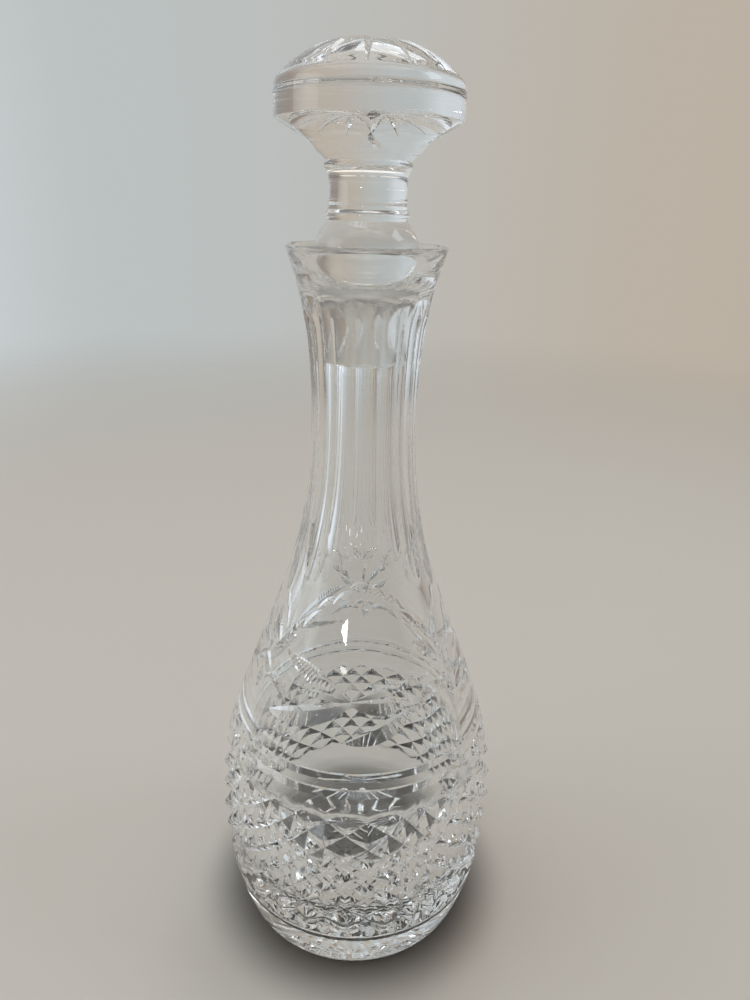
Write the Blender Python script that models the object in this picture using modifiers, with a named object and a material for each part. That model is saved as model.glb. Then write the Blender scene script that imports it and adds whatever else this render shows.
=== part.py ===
"""A cut crystal wine decanter in two pieces: a hollow cut bottle and a solid mushroom stopper.

Metres, +Z up, the decorated front faces -Y, and the bottle stands on z = 0 with its axis on Z.
"""

import math

import bmesh
import bpy
from mathutils import Matrix, Vector

MM = 0.001
CRYSTAL_ROUGHNESS = 0.03
CRYSTAL_IOR = 1.55
CREASE = math.radians(24.0)

# Bottle outside, as (height, radius) in mm from the foot to the lip.
FOOT_RADIUS = 45.0
BODY_OUTLINE = [
    (0.0, FOOT_RADIUS),
    (0.9, 46.4),
    (3.0, 47.7),
    (8.0, 49.5),
    (14.0, 51.3),
    (19.5, 52.6),
    (28.0, 54.2),
    (40.0, 55.7),
    (54.0, 56.6),
    (64.0, 56.2),
    (72.0, 55.2),
    (80.0, 53.6),
    (92.0, 50.3),
    (104.0, 46.3),
    (120.0, 40.4),
    (136.0, 34.2),
    (152.0, 28.5),
    (168.0, 23.8),
    (184.0, 21.0),
    (200.0, 19.5),
    (216.0, 19.1),
    (232.0, 19.5),
    (244.0, 20.5),
    (256.0, 22.6),
    (264.0, 24.7),
    (270.4, 26.8),
]
LIP_HEIGHT = 271.7
LIP_OUTER_EDGE = 26.5
LIP_INNER_EDGE = 25.3

# The first points of the outline are the plain foot, below the diamonds.
FOOT_POINTS = 6

# The foot underneath: a flat ring to stand on round a shallow hollow.
HOLLOW_RADIUS = 33.0
HOLLOW_CREST_RADIUS = 14.0
HOLLOW_RISE = 1.6

# Bottle inside, as (height, radius) in mm from the mouth down to the floor.
MOUTH_OUTLINE = [
    (270.9, 24.7),
    (266.0, 22.0),
    (262.0, 19.9),
    (258.6, 17.2),
    (257.0, 14.4),
]
GROUND_SEAT_TOP = (256.4, 10.4)
GROUND_SEAT_BOTTOM = (232.0, 9.4)
CAVITY_OUTLINE = [
    (216.0, 9.6),
    (200.0, 10.4),
    (184.0, 12.3),
    (168.0, 16.0),
    (152.0, 21.2),
    (136.0, 27.2),
    (120.0, 33.4),
    (104.0, 39.0),
    (90.0, 43.2),
    (76.0, 46.6),
    (62.0, 48.6),
    (50.0, 49.0),
    (38.0, 48.7),
    (28.0, 47.6),
    (20.0, 45.2),
    (14.5, 41.0),
    (11.4, 34.0),
    (10.4, 24.0),
]
CAVITY_FLOOR = 10.0

# Angular steps: two for each of the 26 diamond columns, three for each neck flute.
DIAMOND_STEPS = 52
FLUTE_STEPS = 48
INNER_STEPS = 24

# Diamond field: crossing grooves leave pyramids between these levels.
# Each level is a height with the depth of the groove crossings on it.
DIAMOND_LEVELS = [
    (24.9, 0.0),
    (30.8, 3.0),
    (36.6, 3.2),
    (42.4, 3.3),
    (48.2, 3.4),
    (54.0, 3.4),
    (59.8, 3.4),
    (65.6, 3.4),
    (71.3, 3.3),
    (77.0, 2.9),
    (82.6, 0.0),
]

# Two mitre-cut rings round the top of the diamonds, as (height, half width, depth).
RING_GROOVES = [(89.4, 1.6, 1.3), (95.2, 1.4, 1.1)]

# Neck flutes, with lower ends that rise and fall in arches.
FLUTES = 16
FLUTE_PHASE = math.radians(-4.5)
FLUTE_DEPTH = 1.15
FLUTE_TOP = 260.5
FLUTE_TOP_RUN = 5.0
FLUTE_FOOT_RUN = 14.0
ARCHES = 3
ARCH_CREST = 168.0
ARCH_SPRING = 146.0
ARCH_POWER = 1.5
NECK_LEVELS = [146.0, 153.0, 160.0, 168.0, 177.0, 188.0, 202.0, 218.0, 234.0, 247.0, 255.0]

SHOULDER_LEVELS = [104.0, 112.0, 120.0, 128.0, 137.0]

# Leaf sprays cut into the shoulder, as (turn from front in degrees, height) root and tip, and half width.
FLOWER_LEAVES = [
    ((0.0, 120.0), (-44.0, 109.5), 3.6),
    ((0.0, 120.0), (-29.0, 121.0), 1.5),
    ((0.0, 120.0), (-43.0, 132.0), 3.1),
    ((0.0, 120.0), (31.0, 119.0), 2.8),
    ((2.0, 120.5), (46.0, 125.5), 1.6),
    ((0.0, 106.8), (33.0, 116.5), 3.2),
]
SPRAY_LEAVES = [
    ((0.0, 124.0), (-8.0, 141.0), 2.2),
    ((0.0, 124.0), (9.0, 139.0), 2.2),
    ((-2.0, 122.0), (-13.0, 127.0), 1.8),
    ((2.0, 122.0), (13.0, 128.0), 1.8),
]
LEAF_STATIONS = 5

# A leaf narrows to LEAF_END of its width at both ends. Its keel is at LEAF_DEPTH_SHARE of its width
# below the surface, and its cutter widens by LEAF_FLARE up to LEAF_LIFT_SHARE of its width above it.
LEAF_END = 0.04
LEAF_FULLNESS = 0.8
LEAF_DEPTH_SHARE = 0.62
LEAF_FLARE = 1.6
LEAF_LIFT_SHARE = 0.5
LEAF_AHEAD = 0.01
SPRAY_TURN = 60.0
FLOWER_TURN = 120.0

# Small leaves strung along each arch under the flutes, written like the sprays, with turns from the crest.
GARLAND_LEAVES = [
    ((-52.0, 135.5), (-41.0, 143.5), 0.9),
    ((-40.0, 142.0), (-29.0, 149.0), 0.9),
    ((-30.0, 149.5), (-19.0, 154.5), 0.9),
    ((-19.0, 152.5), (-8.0, 157.0), 0.9),
    ((-7.0, 158.0), (5.0, 159.0), 0.9),
    ((7.0, 157.5), (18.0, 155.0), 0.9),
    ((18.0, 155.5), (29.0, 150.5), 0.9),
    ((29.0, 149.5), (40.0, 142.5), 0.9),
    ((41.0, 143.5), (52.0, 135.5), 0.9),
]

# Stopper, as (height, radius) in mm from the crown down its outer side to the tip of the peg.
STOPPER_OUTLINE = [
    (330.5, 0.0),
    (330.4, 3.0),
    (329.8, 8.5),
    (328.6, 13.5),
    (326.6, 18.5),
    (324.0, 23.0),
    (321.2, 26.6),
    (318.8, 28.9),
    (316.6, 29.8),
    (307.6, 29.9),
    (306.6, 29.0),
    (303.8, 24.6),
    (301.6, 20.6),
    (299.6, 17.2),
    (297.8, 14.8),
    (296.6, 13.9),
    (295.6, 14.1),
    (294.4, 14.0),
    (293.6, 13.2),
    (291.0, 12.7),
    (287.5, 12.6),
    (284.0, 12.9),
    (282.6, 13.2),
    (282.2, 12.8),
    (281.6, 13.5),
    (279.8, 13.6),
    (279.0, 13.2),
    (278.6, 13.6),
    (276.4, 15.2),
    (273.4, 16.9),
    (269.0, 17.6),
    (264.5, 17.0),
    (261.0, 15.2),
    (258.9, 12.8),
    (257.8, 10.6),
    (256.4, 10.0),
    (234.2, 9.1),
    (233.4, 8.5),
    (233.4, 0.0),
]
STOPPER_STEPS = 40

# Star cut on the crown and the hollow cuts under the mushroom.
STAR_RAYS = 14
STAR_PHASE = math.radians(-2.0)
STAR_ROOT = (2.6, 330.6)
STAR_TIP = (28.0, 320.0)
STAR_HALF_WIDTH = 1.4
STAR_DEPTH = 0.9

# Each ray's cutter is widest this far along it, where it bows up to clear the crown.
STAR_SWELL_AT = 0.62
STAR_BOW = 2.4
STAR_CLEARANCE = 1.2
STAR_TOP_RISE = 1.4

# Faces of a ray's cutter, as corners in the order root, keel, tip, right side, left side, top.
STAR_FACES = [(0, 3, 1), (1, 3, 2), (0, 1, 4), (1, 2, 4), (0, 5, 3), (3, 5, 2), (0, 4, 5), (4, 2, 5)]


UNDER_CUTS = 6
UNDER_CUT_PHASE = math.radians(35.0)
UNDER_CUT_RADIUS = 17.4
UNDER_CUT_STRETCH = 2.5
UNDER_CUT_REACH = 31.8
UNDER_CUT_HEIGHT = 291.0
UNDER_CUT_SEGMENTS = 20
UNDER_CUT_RINGS = 12


def clear_scene():
    for obj in list(bpy.data.objects):
        bpy.data.objects.remove(obj, do_unlink=True)
    for collection in list(bpy.data.collections):
        bpy.data.collections.remove(collection)


def make_collection(name, helper):
    collection = bpy.data.collections.new(name)
    collection.hide_render = helper
    bpy.context.scene.collection.children.link(collection)
    return collection


def crystal(name, color):
    material = bpy.data.materials.new(name)
    material.use_nodes = True
    surface = material.node_tree.nodes["Principled BSDF"]
    surface.inputs["Base Color"].default_value = color
    surface.inputs["Roughness"].default_value = CRYSTAL_ROUGHNESS
    surface.inputs["IOR"].default_value = CRYSTAL_IOR
    surface.inputs["Transmission Weight"].default_value = 1.0
    return material


def bottle_material():
    """Clear lead crystal."""
    return crystal("bottle_crystal", (0.93, 0.95, 0.95, 1.0))


def stopper_material():
    """The same crystal, a little brighter because it is solid and polished all over."""
    return crystal("stopper_crystal", (0.95, 0.97, 0.97, 1.0))


def smooth_step(share):
    share = min(max(share, 0.0), 1.0)
    return share * share * (3.0 - 2.0 * share)


def outline_radius(height):
    """Radius of the uncut bottle at a height, on a smooth curve through BODY_OUTLINE."""
    last = len(BODY_OUTLINE) - 2
    index = 0
    while index < last and BODY_OUTLINE[index + 1][0] < height:
        index += 1
    low, high = BODY_OUTLINE[index], BODY_OUTLINE[index + 1]
    before = BODY_OUTLINE[max(index - 1, 0)]
    after = BODY_OUTLINE[min(index + 2, last + 1)]
    span = high[0] - low[0]
    share = (height - low[0]) / span
    slope_low = (high[1] - before[1]) / (high[0] - before[0]) * span
    slope_high = (after[1] - low[1]) / (after[0] - low[0]) * span
    square = share * share
    cube = square * share
    return (
        (2 * cube - 3 * square + 1) * low[1]
        + (cube - 2 * square + share) * slope_low
        + (3 * square - 2 * cube) * high[1]
        + (cube - square) * slope_high
    )


def arch_height(turn):
    """Height of the arch line that the flute ends follow, at a turn from the front."""
    period = math.tau / ARCHES
    offset = (turn + period / 2) % period - period / 2
    share = abs(offset) / (period / 2)
    return ARCH_CREST - (ARCH_CREST - ARCH_SPRING) * share ** ARCH_POWER


def flute_depth(column, height):
    """Depth of the neck flutes at a column: none on the ridge between two flutes."""
    steps_across = FLUTE_STEPS // FLUTES
    if column % steps_across == 0:
        return 0.0
    flute = column // steps_across
    centre = (flute + 0.5) * math.tau / FLUTES + FLUTE_PHASE
    foot = arch_height(centre)
    rise = smooth_step((height - foot) / FLUTE_FOOT_RUN)
    fall = smooth_step((FLUTE_TOP - height) / FLUTE_TOP_RUN)
    return FLUTE_DEPTH * rise * fall


def ring_of(bm, radii, height, turn=0.0):
    """One ring of vertices, counted anticlockwise from the front."""
    ring = []
    for column, radius in enumerate(radii):
        angle = column * math.tau / len(radii) + turn
        ring.append(bm.verts.new((
            radius * math.sin(angle) * MM,
            -radius * math.cos(angle) * MM,
            height * MM,
        )))
    return ring


def plain_ring(bm, radius, height, turn=0.0, steps=DIAMOND_STEPS):
    return ring_of(bm, [radius] * steps, height, turn)


def join_rings(bm, lower, upper):
    """Quads between two rings of the same count, facing away from the axis."""
    count = len(lower)
    for column in range(count):
        following = (column + 1) % count
        bm.faces.new((lower[column], lower[following], upper[following], upper[column]))


def join_diamond_rings(bm, lower, upper, level):
    """Two facets in each cell, creased along the groove and not across the pyramid."""
    count = len(lower)
    for column in range(count):
        following = (column + 1) % count
        a, b = lower[column], lower[following]
        c, d = upper[following], upper[column]
        if (column + level) % 2:
            bm.faces.new((a, b, c))
            bm.faces.new((a, c, d))
        else:
            bm.faces.new((a, b, d))
            bm.faces.new((b, c, d))


def zip_rings(bm, lower, upper):
    """Triangles between two rings of different counts, taking the nearer next vertex each time."""
    low = 0
    high = 0
    while low < len(lower) or high < len(upper):
        low_here, high_here = lower[low % len(lower)], upper[high % len(upper)]
        low_share = (low + 0.5) / len(lower) if low < len(lower) else 2.0
        high_share = (high + 0.5) / len(upper) if high < len(upper) else 2.0
        if low_share <= high_share:
            low += 1
            bm.faces.new((low_here, lower[low % len(lower)], high_here))
        else:
            high += 1
            bm.faces.new((low_here, upper[high % len(upper)], high_here))


def close_ring(bm, ring, height, flip):
    """A shallow cone from a ring to a point on the axis."""
    centre = bm.verts.new((0.0, 0.0, height * MM))
    count = len(ring)
    for column in range(count):
        following = (column + 1) % count
        corners = (ring[column], ring[following], centre)
        bm.faces.new(tuple(reversed(corners)) if flip else corners)


def diamond_ring(bm, level):
    """Peaks on the body outline and groove crossings below it, by turns round the ring."""
    height, depth = DIAMOND_LEVELS[level]
    radius = outline_radius(height)
    radii = []
    for column in range(DIAMOND_STEPS):
        crossing = (column + level) % 2 == 0
        radii.append(radius - depth if crossing else radius)
    return ring_of(bm, radii, height)


def foot_rings(bm):
    """The underside: a hollow, the flat ring the bottle stands on and the rounded edge."""
    crest = plain_ring(bm, HOLLOW_CREST_RADIUS, HOLLOW_RISE)
    close_ring(bm, crest, HOLLOW_RISE, flip=True)
    inner = plain_ring(bm, HOLLOW_RADIUS, 0.0)
    join_rings(bm, crest, inner)
    previous = inner
    for height, radius in BODY_OUTLINE[:FOOT_POINTS]:
        ring = plain_ring(bm, radius, height)
        join_rings(bm, previous, ring)
        previous = ring
    return previous


def diamond_rings(bm, previous):
    for level in range(len(DIAMOND_LEVELS)):
        ring = diamond_ring(bm, level)
        if level == 0:
            join_rings(bm, previous, ring)
        else:
            join_diamond_rings(bm, previous, ring, level)
        previous = ring
    return previous


def ring_groove_rings(bm, previous):
    for height, half_width, depth in RING_GROOVES:
        for level, cut in ((height - half_width, 0.0), (height, depth), (height + half_width, 0.0)):
            ring = plain_ring(bm, outline_radius(level) - cut, level)
            join_rings(bm, previous, ring)
            previous = ring
    return previous


def shoulder_rings(bm, previous):
    """Plain shoulder, where the steps of the diamonds give way to those of the flutes."""
    for height in SHOULDER_LEVELS:
        ring = plain_ring(bm, outline_radius(height), height)
        join_rings(bm, previous, ring)
        previous = ring
    return previous


def neck_rings(bm, previous):
    """The fluted neck and the plain cone under the lip."""
    for height in NECK_LEVELS + [FLUTE_TOP]:
        radius = outline_radius(height)
        radii = [radius - flute_depth(column, height) for column in range(FLUTE_STEPS)]
        ring = ring_of(bm, radii, height, FLUTE_PHASE)
        if len(previous) == len(ring):
            join_rings(bm, previous, ring)
        else:
            zip_rings(bm, previous, ring)
        previous = ring
    lip = [BODY_OUTLINE[-2], BODY_OUTLINE[-1], (LIP_HEIGHT, LIP_OUTER_EDGE), (LIP_HEIGHT, LIP_INNER_EDGE)]
    for height, radius in lip:
        ring = plain_ring(bm, radius, height, FLUTE_PHASE, FLUTE_STEPS)
        join_rings(bm, previous, ring)
        previous = ring
    return previous


def cavity_rings(bm, lip_edge):
    """The mouth, the ground seat and the inside of the body, down to the floor."""
    outline = MOUTH_OUTLINE + [GROUND_SEAT_TOP, GROUND_SEAT_BOTTOM] + CAVITY_OUTLINE
    previous = None
    for height, radius in outline:
        ring = plain_ring(bm, radius, height, FLUTE_PHASE, INNER_STEPS)
        if previous is None:
            zip_rings(bm, lip_edge, ring)
        else:
            join_rings(bm, previous, ring)
        previous = ring
    close_ring(bm, previous, CAVITY_FLOOR, flip=False)


def bottle_blank(collection, material):
    bm = bmesh.new()
    ring = foot_rings(bm)
    ring = diamond_rings(bm, ring)
    ring = ring_groove_rings(bm, ring)
    ring = shoulder_rings(bm, ring)
    ring = neck_rings(bm, ring)
    cavity_rings(bm, ring)
    mesh = bpy.data.meshes.new("bottle")
    bm.to_mesh(mesh)
    bm.free()
    mesh.materials.append(material)
    for face in mesh.polygons:
        face.use_smooth = True
    mesh.set_sharp_from_angle(angle=CREASE)
    bottle = bpy.data.objects.new("bottle", mesh)
    collection.objects.link(bottle)
    return bottle


def shoulder_point(turn, height):
    """A point on the uncut shoulder and the outward direction there."""
    radius = outline_radius(height)
    slope = outline_radius(height + 0.5) - outline_radius(height - 0.5)
    angle = math.radians(turn)
    around = Vector((math.sin(angle), -math.cos(angle), 0.0))
    outward = (around - Vector((0.0, 0.0, slope))).normalized()
    return around * radius + Vector((0.0, 0.0, height)), outward


def leaf_cutter_into(bm, root, tip, half_width, turn):
    """One wheel-cut leaf: a spindle of triangular section, deepest in the middle of its length."""
    sections = []
    for station in range(LEAF_STATIONS):
        share = station / (LEAF_STATIONS - 1)
        along = share * (tip[0] - root[0]) + root[0] + turn
        height = share * (tip[1] - root[1]) + root[1]
        centre, outward = shoulder_point(along, height)
        ahead, _ = shoulder_point(
            along + LEAF_AHEAD * (tip[0] - root[0]),
            height + LEAF_AHEAD * (tip[1] - root[1]),
        )
        sideways = outward.cross(ahead - centre).normalized()
        swell = math.sin(math.pi * (LEAF_END + (1.0 - 2.0 * LEAF_END) * share)) ** LEAF_FULLNESS
        width = half_width * swell
        depth = width * LEAF_DEPTH_SHARE
        lift = outward * width * LEAF_LIFT_SHARE
        sections.append([
            bm.verts.new((centre - outward * depth) * MM),
            bm.verts.new((centre + lift + sideways * width * LEAF_FLARE) * MM),
            bm.verts.new((centre + lift - sideways * width * LEAF_FLARE) * MM),
        ])
    for first, second in zip(sections, sections[1:]):
        for corner in range(3):
            following = (corner + 1) % 3
            bm.faces.new((first[corner], first[following], second[following], second[corner]))
    bm.faces.new(tuple(reversed(sections[0])))
    bm.faces.new(tuple(sections[-1]))


def cutter_object(name, bm, collection):
    bmesh.ops.recalc_face_normals(bm, faces=bm.faces)
    mesh = bpy.data.meshes.new(name)
    bm.to_mesh(mesh)
    bm.free()
    cutter = bpy.data.objects.new(name, mesh)
    cutter.display_type = "WIRE"
    cutter.hide_render = True
    collection.objects.link(cutter)
    return cutter


def leaf_cutters(name, leaves, first_turn, collection):
    bm = bmesh.new()
    for repeat in range(ARCHES):
        for root, tip, half_width in leaves:
            leaf_cutter_into(bm, root, tip, half_width, first_turn + repeat * FLOWER_TURN)
    return cutter_object(name, bm, collection)


def cut_away(target, cutter):
    modifier = target.modifiers.new("cut " + cutter.name, "BOOLEAN")
    modifier.operation = "DIFFERENCE"
    modifier.solver = "EXACT"
    modifier.use_self = True
    modifier.object = cutter


def build_bottle(parts, cutters, material):
    bottle = bottle_blank(parts, material)
    cut_away(bottle, leaf_cutters("flower_leaves", FLOWER_LEAVES, 0.0, cutters))
    cut_away(bottle, leaf_cutters("spray_leaves", SPRAY_LEAVES, SPRAY_TURN, cutters))
    cut_away(bottle, leaf_cutters("garland_leaves", GARLAND_LEAVES, 0.0, cutters))
    return bottle


def stopper_blank(collection, material):
    mesh = bpy.data.meshes.new("stopper")
    points = [(radius * MM, 0.0, height * MM) for height, radius in STOPPER_OUTLINE]
    edges = [(index, index + 1) for index in range(len(points) - 1)]
    mesh.from_pydata(points, edges, [])
    mesh.materials.append(material)
    stopper = bpy.data.objects.new("stopper", mesh)
    collection.objects.link(stopper)
    turned = stopper.modifiers.new("turned", "SCREW")
    turned.steps = STOPPER_STEPS
    turned.render_steps = STOPPER_STEPS
    turned.use_merge_vertices = True
    turned.merge_threshold = 0.00001
    turned.use_smooth_shade = True
    return stopper


def star_cutter(collection):
    """Fourteen thin V cuts that run out from the middle of the crown."""
    bm = bmesh.new()
    for ray in range(STAR_RAYS):
        angle = ray * math.tau / STAR_RAYS + STAR_PHASE
        out = Vector((math.sin(angle), -math.cos(angle), 0.0))
        sideways = Vector((math.cos(angle), math.sin(angle), 0.0))
        root = out * STAR_ROOT[0] + Vector((0.0, 0.0, STAR_ROOT[1]))
        tip = out * STAR_TIP[0] + Vector((0.0, 0.0, STAR_TIP[1]))
        swell = root.lerp(tip, STAR_SWELL_AT) + Vector((0.0, 0.0, STAR_BOW))
        keel = swell - Vector((0.0, 0.0, STAR_DEPTH + STAR_CLEARANCE))
        top = swell + Vector((0.0, 0.0, STAR_TOP_RISE))
        aside = sideways * STAR_HALF_WIDTH
        corners = [root, keel, tip, swell + aside, swell - aside, top]
        verts = [bm.verts.new(corner * MM) for corner in corners]
        for a, b, c in STAR_FACES:
            bm.faces.new((verts[a], verts[b], verts[c]))
    return cutter_object("crown_star", bm, collection)


def under_cutter(collection):
    """Six long hollows that meet in points under the rim of the mushroom."""
    bm = bmesh.new()
    for cut in range(UNDER_CUTS):
        angle = cut * math.tau / UNDER_CUTS + UNDER_CUT_PHASE
        centre = Vector((0.0, -UNDER_CUT_REACH, UNDER_CUT_HEIGHT)) * MM
        stretch = Matrix.Diagonal((UNDER_CUT_STRETCH, 1.0, 1.0, 1.0))
        place = Matrix.Rotation(angle, 4, "Z") @ Matrix.Translation(centre) @ stretch
        bmesh.ops.create_uvsphere(
            bm,
            u_segments=UNDER_CUT_SEGMENTS,
            v_segments=UNDER_CUT_RINGS,
            radius=UNDER_CUT_RADIUS * MM,
            matrix=place,
        )
    return cutter_object("under_hollows", bm, collection)


def build_stopper(parts, cutters, material):
    stopper = stopper_blank(parts, material)
    cut_away(stopper, star_cutter(cutters))
    cut_away(stopper, under_cutter(cutters))
    return stopper


def main():
    clear_scene()
    parts = make_collection("wine_decanter", helper=False)
    cutters = make_collection("cutters", helper=True)
    build_bottle(parts, cutters, bottle_material())
    build_stopper(parts, cutters, stopper_material())


main()
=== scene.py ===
"""The wine decanter as seen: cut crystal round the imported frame, with a camera, floor and light.

Heights, radii and depths in the named values are millimetres from the foot unless a comment says
otherwise. The decanter stands on z = 0 with its axis on Z, and its decorated front faces -Y.
"""

import math

import bmesh
import bpy
import numpy as np
from mathutils import Matrix, Vector

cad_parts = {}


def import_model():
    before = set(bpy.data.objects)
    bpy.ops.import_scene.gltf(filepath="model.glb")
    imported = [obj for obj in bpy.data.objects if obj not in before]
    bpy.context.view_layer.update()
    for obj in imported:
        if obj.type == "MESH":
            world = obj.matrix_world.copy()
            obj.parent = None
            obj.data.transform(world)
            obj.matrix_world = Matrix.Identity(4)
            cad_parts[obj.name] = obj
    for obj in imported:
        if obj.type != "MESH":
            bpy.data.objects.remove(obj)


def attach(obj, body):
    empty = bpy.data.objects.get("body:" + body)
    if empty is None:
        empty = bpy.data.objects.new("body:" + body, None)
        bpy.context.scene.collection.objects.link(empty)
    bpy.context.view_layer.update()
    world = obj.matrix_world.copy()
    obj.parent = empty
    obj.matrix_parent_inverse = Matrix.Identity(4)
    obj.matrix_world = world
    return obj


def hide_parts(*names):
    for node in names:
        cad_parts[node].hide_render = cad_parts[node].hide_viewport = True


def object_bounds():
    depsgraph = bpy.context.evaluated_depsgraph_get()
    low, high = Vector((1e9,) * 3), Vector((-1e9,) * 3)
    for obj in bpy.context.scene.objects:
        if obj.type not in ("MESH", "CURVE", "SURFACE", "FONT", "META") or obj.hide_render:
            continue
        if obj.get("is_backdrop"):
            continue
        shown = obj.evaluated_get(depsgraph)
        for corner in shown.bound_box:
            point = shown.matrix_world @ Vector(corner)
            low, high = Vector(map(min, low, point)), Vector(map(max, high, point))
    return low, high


MM = 0.001

# Bottle outside, as (height, radius) in mm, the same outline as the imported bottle.
BODY_OUTLINE = [
    (0.0, 45.0),
    (0.9, 46.4),
    (3.0, 47.7),
    (8.0, 49.5),
    (14.0, 51.3),
    (19.5, 52.6),
    (28.0, 54.2),
    (40.0, 55.7),
    (54.0, 56.6),
    (64.0, 56.2),
    (72.0, 55.2),
    (80.0, 53.6),
    (92.0, 50.3),
    (104.0, 46.3),
    (120.0, 40.4),
    (136.0, 34.2),
    (152.0, 28.5),
    (168.0, 23.8),
    (184.0, 21.0),
    (200.0, 19.5),
    (216.0, 19.1),
    (232.0, 19.5),
    (244.0, 20.5),
    (256.0, 22.6),
    (264.0, 24.7),
    (270.4, 26.8),
]

# Bottle inside, from the lip's inner edge down to the rim of the floor.
CAVITY_OUTLINE = [
    (271.45, 25.5),
    (270.9, 24.9),
    (266.0, 22.0),
    (262.0, 19.9),
    (258.6, 17.2),
    (257.0, 14.4),
    (256.5, 11.4),
    (256.0, 10.35),
    (232.0, 9.4),
    (224.0, 9.4),
    (216.0, 9.6),
    (200.0, 10.4),
    (184.0, 12.3),
    (168.0, 16.0),
    (152.0, 21.2),
    (136.0, 27.2),
    (120.0, 33.4),
    (104.0, 39.0),
    (90.0, 43.2),
    (76.0, 46.6),
    (62.0, 48.6),
    (50.0, 49.0),
    (38.0, 48.7),
    (28.0, 47.6),
    (20.0, 45.2),
    (14.5, 41.0),
    (11.4, 34.0),
    (10.4, 24.0),
    (10.0, 8.0),
]
CAVITY_FLOOR = 10.0
CAVITY_STEPS = 128
CAVITY_ROW = 1.6

# The ground seat of the stopper lies between these heights.
SEAT_TOP = 256.3
SEAT_FOOT = 232.2

# Waves of the blown inside, as (waves round, height of one radian, size). They fade out over BLOWN_FADE
# below FINE_FROM, and are smaller where the radius is under BLOWN_FULL_RADIUS.
BLOWN_WAVES = [(3, 17.0, 0.12), (5, -11.0, 0.08)]
BLOWN_FADE = 40.0
BLOWN_FULL_RADIUS = 40.0

# Underside of the foot, as (radius, rise of the hollow, depth of the star rays) in mm.
FOOT_RINGS = [
    (4.0, 1.8, 0.0),
    (12.0, 1.7, 0.5),
    (22.0, 1.2, 0.8),
    (32.6, 0.1, 0.8),
    (33.4, 0.0, 0.8),
    (39.0, 0.0, 0.7),
    (43.6, 0.0, 0.4),
]
FOOT_EDGE = [(0.05, 44.5), (0.25, 45.2), (0.55, 45.9)]

# Angular steps: eight for each of the 26 diamonds and thirteen for each of the 16 flutes.
STEPS = 208
DIAMONDS = 26
FLUTES = 16
DIAMOND_LEVELS = [24.9, 30.8, 36.6, 42.4, 48.2, 54.0, 59.8, 65.6, 71.3, 77.0, 82.6]
DIAMOND_DEPTHS = [0.0, 2.3, 2.7, 3.0, 3.2, 3.3, 3.3, 3.2, 3.1, 2.6, 0.0]
ROWS_PER_LEVEL = 4

# Drift of the cuts from even spacing, as (waves round, size in degrees, start in degrees), with the
# height and the run over which it fades in, and those over which it fades out.
WANDER = [(4, 1.5, 55.0), (7, 1.9, -36.0)]
WANDER_START = (12.0, 14.0)
WANDER_END = (106.0, 18.0)

# Two mitre-cut rings, as (height, half width, depth), and where across them the rings of vertices lie.
RING_GROOVES = [(89.4, 1.7, 1.3), (95.2, 1.5, 1.1)]
RING_GROOVE_SHARES = (-0.5, 0.0, 0.5, 1.0)

FLUTE_PHASE = math.radians(-4.5)
FLUTE_DEPTH = 1.25
FLUTE_CURVE = 0.067
FLUTE_TOP = 260.5
FLUTE_TOP_RUN = 15.0

# A flute starts at FLUTE_FOOT_DEPTH. It reaches its full depth over the first run where its foot is on
# the crest of an arch, and over the sum of both runs where it is on the spring.
FLUTE_FOOT_DEPTH = 0.12
FLUTE_FOOT_RUNS = (4.5, 9.5)
ARCHES = 3
ARCH_PHASE = math.radians(5.0)
ARCH_CREST = 168.5
ARCH_SPRING = 145.0
ARCH_POWER = 2.2

# Spacing of the rings of vertices, as (upper height, spacing, times STEPS), from the grooves to the lip.
PLAIN_ROW = 1.6
FINE_FROM = 142.0
NECK_BANDS = [
    (FINE_FROM, PLAIN_ROW, 1),
    (186.0, 0.8, 2),
    (250.0, 2.5, 1),
    (263.0, 0.7, 1),
    (270.4, 1.2, 1),
]
LIP_OUTLINE = [(271.0, 26.85), (271.5, 26.6), (271.7, 26.2), (271.7, 25.8)]

# Leaves cut into the shoulder, as (turn from the front, height) root and tip, half width, bow, notches
# and the side that the notches are on: -1 below the spine, 1 above it, 0 on both.
FLOWER_LEAVES = [
    ((0.5, 120.0), (-44.0, 109.5), 3.9, -1.2, 4, -1),
    ((0.0, 120.4), (-29.0, 121.0), 1.5, 0.8, 0, 0),
    ((0.0, 120.6), (-43.0, 132.0), 3.3, 1.0, 9, 0),
    ((-0.5, 120.2), (31.0, 119.0), 3.0, -1.0, 5, -1),
    ((1.0, 120.8), (46.0, 125.5), 1.7, 1.0, 0, 0),
    ((-1.0, 106.8), (33.0, 116.5), 3.5, -1.2, 5, -1),
]
SPRAY_LEAVES = [
    ((0.0, 126.0), (-1.5, 144.5), 2.1, 0.0, 0, 0),
    ((4.4, 127.4), (21.5, 138.0), 2.0, 0.6, 5, 0),
    ((-4.4, 127.4), (-21.5, 138.0), 2.0, 0.6, 5, 0),
    ((5.0, 117.5), (25.0, 115.0), 2.3, 4.0, 7, -1),
    ((-5.0, 117.5), (-25.0, 115.0), 2.3, 4.0, 7, -1),
    ((1.2, 122.5), (7.5, 120.5), 1.5, 0.0, 0, 0),
    ((-1.2, 122.5), (-7.5, 120.5), 1.5, 0.0, 0, 0),
    ((0.0, 120.5), (0.0, 112.0), 1.7, 0.0, 0, 0),
]
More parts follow.
